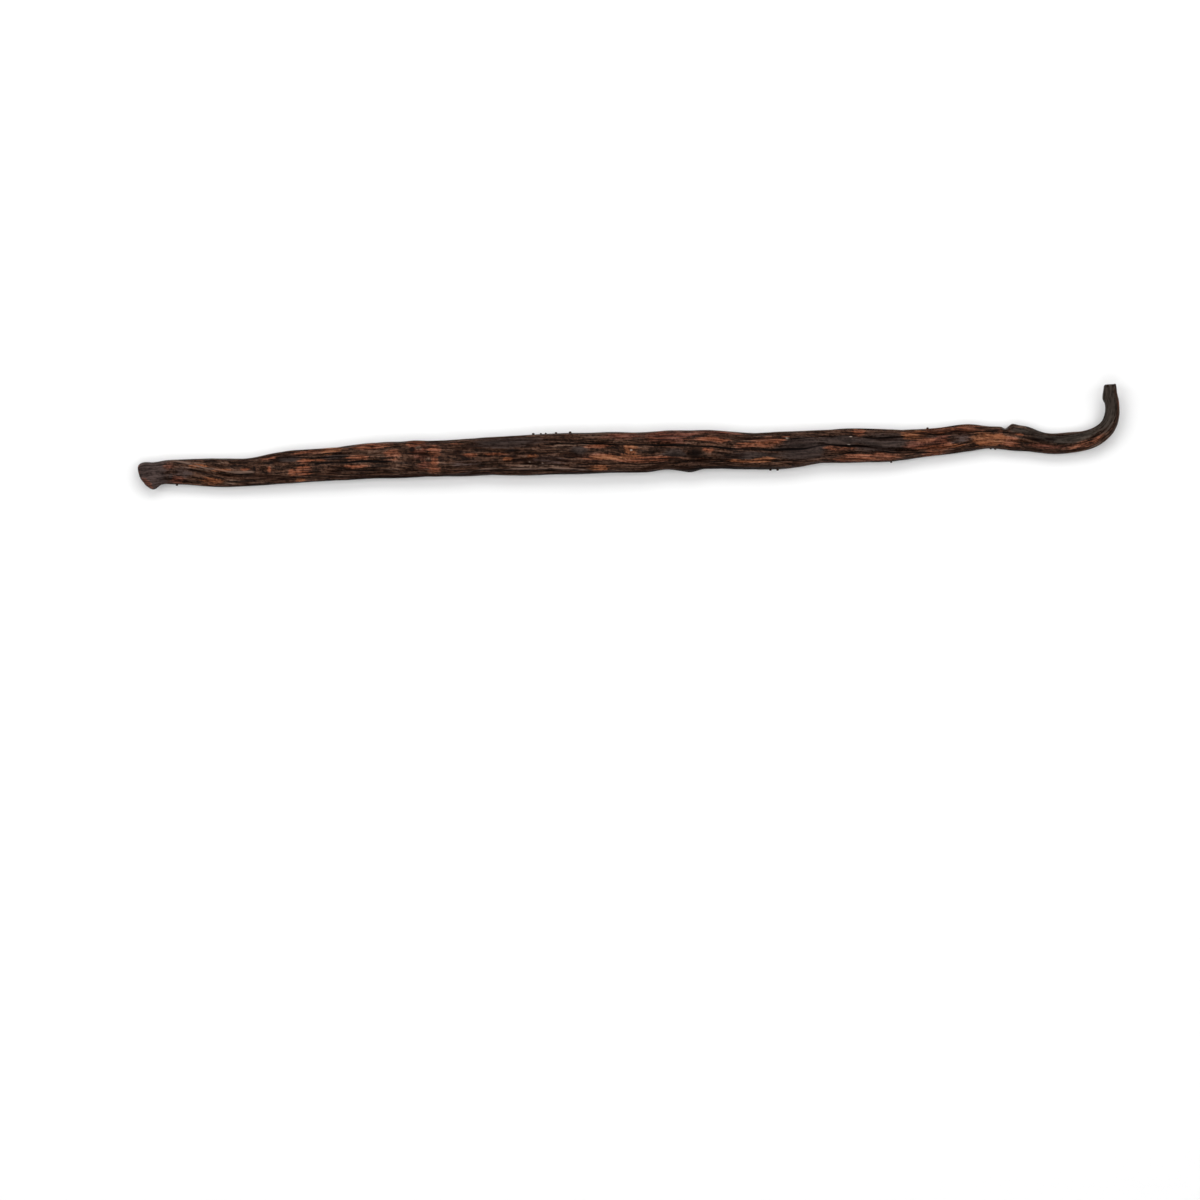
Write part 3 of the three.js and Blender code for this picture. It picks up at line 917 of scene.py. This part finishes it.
@dataclass
class Pod:
    """The whole pod as one skin."""

    sides: int = 200
    rings: int = 452
    seed: float = 3.0
    # What the furrows come to on the mean.
    usual_furrow: float = 0.27
    # The grain meanders: length of a bend, bends round the pod, and degrees to each side.
    meander_length: float = 9.0
    meander_count: float = 1.4
    meander_turn: float = 7.0
    # A furrow comes and goes along longer cells, about its usual depth and within limits.
    come_and_go: float = 0.37
    furrow_usual: float = 0.75
    furrow_swing: float = 1.5
    furrow_limits: Limits = (0.1, 1.5)
    # The painted shade at the bottom of a furrow, as a share of the furrow's width.
    furrow_bottom: float = 0.8
    # Rougher and smoother patches of skin: their size, their swing and its limits.
    rough_cell: Cell = (14.0, 2.6, 2.6)
    rough_swing: float = 0.8
    rough_limits: Limits = (0.3, 1.5)
    # Share of the wrinkles that is left at the two edges.
    rough_at_edge: float = 0.35
    # How fast the skin counts as a crest or a hollow with its height.
    crest_gain: float = 2.2
    # How much closer the rings stand, and over what reach: blossom end, collar, tip and knuckle.
    crowding: tuple[tuple[float, float], ...] = ((1.6, 4.0), (2.2, 2.6), (0.5, 5.0), (0.5, 4.0))
    finish: CuredSkin = CuredSkin()
    # How far the built pod was moved, in metres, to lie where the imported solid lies.
    move: np.ndarray | None = None

    form = PodForm()
    # In how many steps the spacing of the rings is worked out.
    STEPS = 2000
    # Outline of the two ends: share of the radius and distance from the end.
    BLOSSOM_RIM = ((0, 0.55), (0.22, 0.52), (0.42, 0.42), (0.58, 0.2), (0.7, 0.06), (0.8, 0.05),
                   (0.88, 0.12), (0.94, 0.26), (0.98, 0.5), (1.0, 0.9))
    STEM_RIM = ((0, 0.35), (0.22, 0.34), (0.4, 0.28), (0.58, 0.1), (0.72, 0.02), (0.82, 0.04),
                (0.9, 0.12), (0.96, 0.26), (0.99, 0.45), (1.0, 0.8))
    WRINKLES = (
        Wrinkles(1.7, 20.0, 0.12, 0.3, 0.0, 1.0),
        Wrinkles(1.05, 14.0, 0.3, 0.17, 0.8, 2.0),
        Wrinkles(0.58, 7.0, 0.22, 0.2, 0.8, 3.0),
    )
    # How rough the skin is along the pod: smooth at both ends and at the grey stretch.
    ROUGHNESS = Course((
        (0, 0.15), (4, 0.3), (9, 0.8), (22, 1.1), (40, 1.3), (58, 1.25), (72, 1.2), (84, 1.25),
        (104, 1.2), (118, 0.8), (128, 0.75), (140, 1.1), (156, 1.1), (161, 0.8), (168, 0.9),
        (176, 0.7), (184, 0.4), (188, 0.6),
    ))

    def spindle(self) -> bmesh.types.BMesh:
        """Turns the straight spindle that the pod is shaped from.

        Returns:
            The spindle: x runs along it, and its radius is 1 between the ends.
        """
        length = self.form.SPINE.length
        outline = [(inset, share) for share, inset in self.BLOSSOM_RIM]
        outline += [(length - inset, share) for share, inset in reversed(self.STEM_RIM)]
        spindle = bmesh.new()
        corners = [spindle.verts.new((along, share, 0.0)) for along, share in outline]
        edges = [spindle.edges.new(pair) for pair in zip(corners, corners[1:])]
        side = edges[len(self.BLOSSOM_RIM) - 1]
        bmesh.ops.subdivide_edges(spindle, edges=[side], cuts=self.rings)
        bmesh.ops.spin(
            spindle, geom=spindle.verts[:] + spindle.edges[:], cent=(0, 0, 0), axis=(1, 0, 0),
            angle=2 * math.pi, steps=self.sides, use_merge=True, use_duplicate=False,
        )
        bmesh.ops.remove_doubles(spindle, verts=spindle.verts[:], dist=1e-5)
        return spindle

    def ring_places(self, even: np.ndarray) -> np.ndarray:
        """Draws the evenly spaced rings together at the ends and at the torn collar.

        Args:
            even: Distances along the evenly divided spindle.

        Returns:
            The distances that those rings are moved to.
        """
        start = self.BLOSSOM_RIM[-1][1]
        stop = self.form.SPINE.length - self.STEM_RIM[-1][1]
        places = np.linspace(start, stop, self.STEPS)
        density = np.ones_like(places)
        middles = (start, self.form.collar, stop, self.form.knuckle)
        for middle, (closer, reach) in zip(middles, self.crowding):
            density += closer * hump(places - middle, reach)
        spent = np.concatenate([[0.0], np.cumsum((density[1:] + density[:-1]) / 2)])
        moved = np.interp((even - start) / (stop - start), spent / spent[-1], places)
        return np.where((even > start) & (even < stop), moved, even)

    def wrinkling(
        self, along: np.ndarray, degrees: np.ndarray
    ) -> tuple[np.ndarray, np.ndarray, np.ndarray]:
        """The fine wrinkles.

        Args:
            along: Distances along the pod.
            degrees: Angles round it.

        Returns:
            The height of the skin in millimetres, how near the bottom of a furrow it is and so how
            strongly shade is painted there, and its place on the unrolled skin, which the colours follow.
        """
        radius = (self.form.half_width(along) + self.form.half_thickness(along)) / 2
        turned = np.radians(degrees - self.form.GRAIN_TURN.at(along))
        around = np.column_stack([np.cos(turned), np.sin(turned)]) * self.meander_count
        cells = np.column_stack([along / self.meander_length, around])
        turned = turned + np.radians(self.meander_turn) * wander(cells, self.seed)
        unrolled = np.column_stack([along, radius * np.cos(turned), radius * np.sin(turned)])
        height = np.zeros_like(along)
        bottom = np.zeros_like(along)
        for wrinkles in self.WRINKLES:
            cells = unrolled / (wrinkles.run, wrinkles.spacing, wrinkles.spacing)
            value = np.abs(wander(cells, self.seed + wrinkles.seed))
            swing = self.furrow_swing * wander(cells * self.come_and_go, self.seed + wrinkles.seed * 5)
            deep = np.clip(self.furrow_usual + swing, *self.furrow_limits)
            furrow = np.exp(-value / wrinkles.sharpness) * deep
            height -= wrinkles.depth * (furrow - self.usual_furrow)
            narrow = np.exp(-value / (wrinkles.sharpness * self.furrow_bottom)) * deep
            bottom = np.maximum(bottom, wrinkles.darkness * narrow)
        patchy = wander(unrolled / self.rough_cell, self.seed + 9)
        rough = np.clip(1.0 + self.rough_swing * patchy, *self.rough_limits)
        rough *= self.ROUGHNESS.at(along)
        broad = 1 - self.rough_at_edge
        edge = self.rough_at_edge + broad * np.sin(np.radians(degrees)) ** 2
        return height * rough * edge, bottom * np.clip(rough, 0, 1), unrolled

    def skin(self, along: np.ndarray, degrees: np.ndarray, share: np.ndarray | float = 1.0) -> Skin:
        """The finished skin, bent along the spine.

        Args:
            along: Distances along the pod.
            degrees: Angles round it.
            share: Share of the radius, less than 1 on the two ends.

        Returns:
            The places and what the finish follows there.
        """
        form = self.form
        fine, furrow, unrolled = self.wrinkling(along, degrees)
        creases = form.creasing(along, degrees)
        relief = form.low_relief(along, degrees) - creases.depth + fine
        turned = np.radians(degrees)
        across = np.sign(np.cos(turned)) * np.abs(np.cos(turned)) ** (2 / form.section_power)
        upward = np.sign(np.sin(turned)) * np.abs(np.sin(turned)) ** (2 / form.section_power)
        half_width, half_thickness = form.half_width(along), form.half_thickness(along)
        outward = np.column_stack([across / half_width, upward / half_thickness])
        outward /= np.linalg.norm(outward, axis=1)[:, None]
        sideways = (across * half_width + outward[:, 0] * relief) * share
        height = (upward * half_thickness + outward[:, 1] * relief) * share
        height += half_thickness * (1 - form.pressed) + form.lift(along)
        beside = np.cos(turned) * share - form.bulge_at
        lean = form.bulge_back * beside**2 - form.bulge_reach
        lean = lean * (1 - smoothstep(along, 0, form.bulge_length))
        middle, ahead = form.SPINE.point(along), form.SPINE.heading(along)
        places = np.column_stack([
            middle[:, 0] - ahead[:, 1] * sideways + ahead[:, 0] * lean,
            middle[:, 1] + ahead[:, 0] * sideways + ahead[:, 1] * lean,
            np.maximum(height, 0.0),
        ])
        crest = 0.5 + self.crest_gain * (fine - creases.depth / 2)
        return Skin(places, unrolled, furrow, creases.bottom, crest, creases.fold)

    def build(self) -> bpy.types.Object:
        """Makes the pod in its place on the table.

        Returns:
            The pod, with the attributes that its finish follows.
        """
        mesh = bpy.data.meshes.new("pod_skin")
        spindle = self.spindle()
        spindle.to_mesh(mesh)
        spindle.free()
        turned = np.empty(len(mesh.vertices) * 3, np.float32)
        mesh.vertices.foreach_get("co", turned)
        x, y, z = turned.reshape(-1, 3).astype(float).T
        along = self.ring_places(x)
        degrees = np.degrees(np.arctan2(z, y)) % 360.0
        skin = self.skin(along, degrees, np.hypot(y, z))
        self.move = self.standing_move(skin.places)
        mesh.vertices.foreach_set("co", (skin.places * MM + self.move).astype(np.float32).ravel())

        finished = bmesh.new()
        finished.from_mesh(mesh)
        bmesh.ops.recalc_face_normals(finished, faces=finished.faces[:])
        for face in finished.faces:
            face.smooth = True
        finished.to_mesh(mesh)
        finished.free()

        keep(mesh, "unrolled", skin.unrolled)
        for name in ("furrow", "crease_shade", "crest", "fold"):
            keep(mesh, name, np.clip(getattr(skin, name), 0, 1))
        for tint in Tint:
            keep(mesh, tint.value, self.tinted(tint, along, degrees))
        return put("pod_skin", mesh)

    def standing_move(self, places: np.ndarray) -> np.ndarray:
        """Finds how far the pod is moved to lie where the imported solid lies.

        Args:
            places: The places on the skin, in millimetres.

        Returns:
            The move in metres.
        """
        low, high = (np.array(corner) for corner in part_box("pod"))
        move = (low + high) / 2 - (places.min(0) + places.max(0)) / 2 * MM
        move[2] = low[2] - places[:, 2].min() * MM
        return move

    def tinted(self, tint: Tint, along: np.ndarray, degrees: np.ndarray) -> np.ndarray:
        """How strongly the skin has a tint.

        Args:
            tint: The tint to look for among the patches.
            along: Distances along the pod.
            degrees: Angles round it.

        Returns:
            Its strength at each place, from 0 to 1.
        """
        strength = np.zeros_like(along)
        for patch in (Patch(*row) for row in PATCHES[tint]):
            off = ((along - patch.along) / patch.reach) ** 2
            off += (turn_between(degrees, patch.angle) / patch.arc) ** 2
            strength = np.maximum(strength, patch.strength * np.exp(-(off**1.5)))
        return strength

    def dress(self, skin: bpy.types.Object) -> None:
        """Gives the built pod its finish and its place on the part.

        Args:
            skin: The pod, as built.
        """
        skin.data.materials.append(self.finish.material())
        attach(skin, "root")
        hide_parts("pod")


@dataclass(frozen=True)
class Crumbs:
    """The small dark crumbs that stick to the edges of the pod."""

    squash: float = 0.7
    # How far a crumb's middle stands off the skin, as a share of its size.
    proud: float = 0.4
    # How often the crumbs' faces are divided.
    roundness: int = 2
    finish: PlainFinish = PlainFinish("dark crumbs", CuredSkin.dark, 0.6, 0.1)

    # Distance along the pod, angle round it, and size in millimetres.
    PLACES = (
        (6.5, 178, 0.25), (72.6, 3, 0.26), (74.0, 2, 0.2), (74.9, 4, 0.19), (76.8, 2, 0.24),
        (79.4, 3, 0.28), (116.2, 177, 0.24), (117.5, 178, 0.26), (138.6, 178, 0.22), (145.6, 3, 0.25),
        (157.2, 177, 0.2), (158.1, 178, 0.23), (187.3, 60, 0.3), (187.4, 118, 0.26),
    )

    def build(self, pod: Pod) -> bpy.types.Object:
        """Makes the crumbs on the pod's skin.

        Args:
            pod: The pod, already built.

        Returns:
            All the crumbs as one piece.
        """
        along, degrees, sizes = np.array(self.PLACES).T
        skin = pod.skin(along, degrees, 1 + self.proud * sizes / pod.form.half_width(along))
        heap = bmesh.new()
        for place, size in zip(skin.places * MM + pod.move, sizes * MM):
            shape = Matrix.Translation(place) @ Matrix.Diagonal((size, size * self.squash, size, 1.0))
            bmesh.ops.create_icosphere(heap, subdivisions=self.roundness, radius=1.0, matrix=shape)
        mesh = bpy.data.meshes.new("crumbs")
        heap.to_mesh(mesh)
        heap.free()
        return put("crumbs", mesh)

    def dress(self, crumbs: bpy.types.Object) -> None:
        """Gives the built crumbs their finish, and lets them ride with the pod.

        Args:
            crumbs: The crumbs, as built.
        """
        crumbs.data.materials.append(self.finish.material())
        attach(crumbs, "root")


@dataclass(frozen=True)
class Table:
    """The plain pale surface that the pod lies on."""

    half_side: float = 1.6
    drop: float = 0.00003
    finish: PlainFinish = PlainFinish("pale table", (0.85, 0.85, 0.85), 0.85, 0.2)

    def build(self) -> bpy.types.Object:
        """Makes the surface just under the pod.

        Returns:
            The surface, with its finish.
        """
        sheet = bmesh.new()
        bmesh.ops.create_grid(sheet, x_segments=1, y_segments=1, size=self.half_side)
        bmesh.ops.translate(sheet, verts=sheet.verts[:], vec=(0, 0, -self.drop))
        mesh = bpy.data.meshes.new("table")
        sheet.to_mesh(mesh)
        sheet.free()
        mesh.materials.append(self.finish.material())
        return put("table", mesh)


@dataclass(frozen=True)
class Softbox:
    """A soft lamp that looks at the pod: where it hangs, its size and its strength."""

    name: str
    place: tuple[float, float, float]
    size: tuple[float, float]
    watts: float

    def hang(self) -> None:
        """Puts the lamp in the scene."""
        lamp = bpy.data.lights.new(self.name, "AREA")
        lamp.shape = "RECTANGLE"
        lamp.size, lamp.size_y = self.size
        lamp.energy = self.watts
        holder = put(self.name, lamp)
        holder.location = self.place
        holder.rotation_euler = (-Vector(self.place)).to_track_quat("-Z", "Y").to_euler()


@dataclass(frozen=True)
class Studio:
    """Plain soft studio light, and the camera straight above."""

    sky: float = 0.1
    # The photograph's frame, in metres: its side, and its middle in the spine's own coordinates.
    frame_side: float = 0.222
    frame_middle: tuple[float, float] = (-0.00552, -0.030285)
    camera_height: float = 2.6
    sensor: float = 36.0
    clip_start: float = 0.01

    LAMPS = (
        Softbox("lamp_back", (0.0, 0.78, 0.85), (1.4, 0.5), 9.1),
        Softbox("lamp_front", (0.0, -0.5, 1.05), (1.4, 0.5), 5.1),
        Softbox("lamp_left", (-0.7, 0.1, 0.95), (0.5, 1.1), 5.3),
        Softbox("lamp_right", (0.7, 0.1, 0.95), (0.5, 1.1), 4.25),
    )

    def light(self) -> None:
        """Hangs the lamps and sets the sky and the look of the picture."""
        for lamp in self.LAMPS:
            lamp.hang()
        world = bpy.data.worlds.new("studio")
        world.use_nodes = True
        background = world.node_tree.nodes["Background"]
        background.inputs["Color"].default_value = (1.0, 1.0, 1.0, 1.0)
        background.inputs["Strength"].default_value = self.sky
        bpy.context.scene.world = world
        bpy.context.scene.view_settings.view_transform = "Standard"

    def camera(self, move: np.ndarray) -> None:
        """Puts the camera over the middle of the photograph's frame.

        Args:
            move: How far the pod was moved to where it stands, in metres.
        """
        lens = bpy.data.cameras.new("camera")
        lens.sensor_width = self.sensor
        lens.lens = self.sensor * self.camera_height / self.frame_side
        lens.clip_start = self.clip_start
        holder = put("camera", lens)
        holder.location = (*(self.frame_middle + move[:2]), self.camera_height)
        bpy.context.scene.camera = holder


def main() -> None:
    """Builds the pod, the table and the studio, and reports each piece."""
    logging.basicConfig(level=logging.INFO, format="%(name)s: %(message)s")
    pod = Pod()
    skin = pod.build()
    pod.dress(skin)
    log.info("%s: %d faces", skin.name, len(skin.data.polygons))
    scatter = Crumbs()
    crumbs = scatter.build(pod)
    scatter.dress(crumbs)
    log.info("%s: %d faces", crumbs.name, len(crumbs.data.polygons))
    table = Table().build()
    log.info("%s: staged", table.name)
    studio = Studio()
    studio.light()
    studio.camera(pod.move)
    log.info("camera and %d lamps", len(studio.LAMPS))


if __name__ == "__main__":
    main()
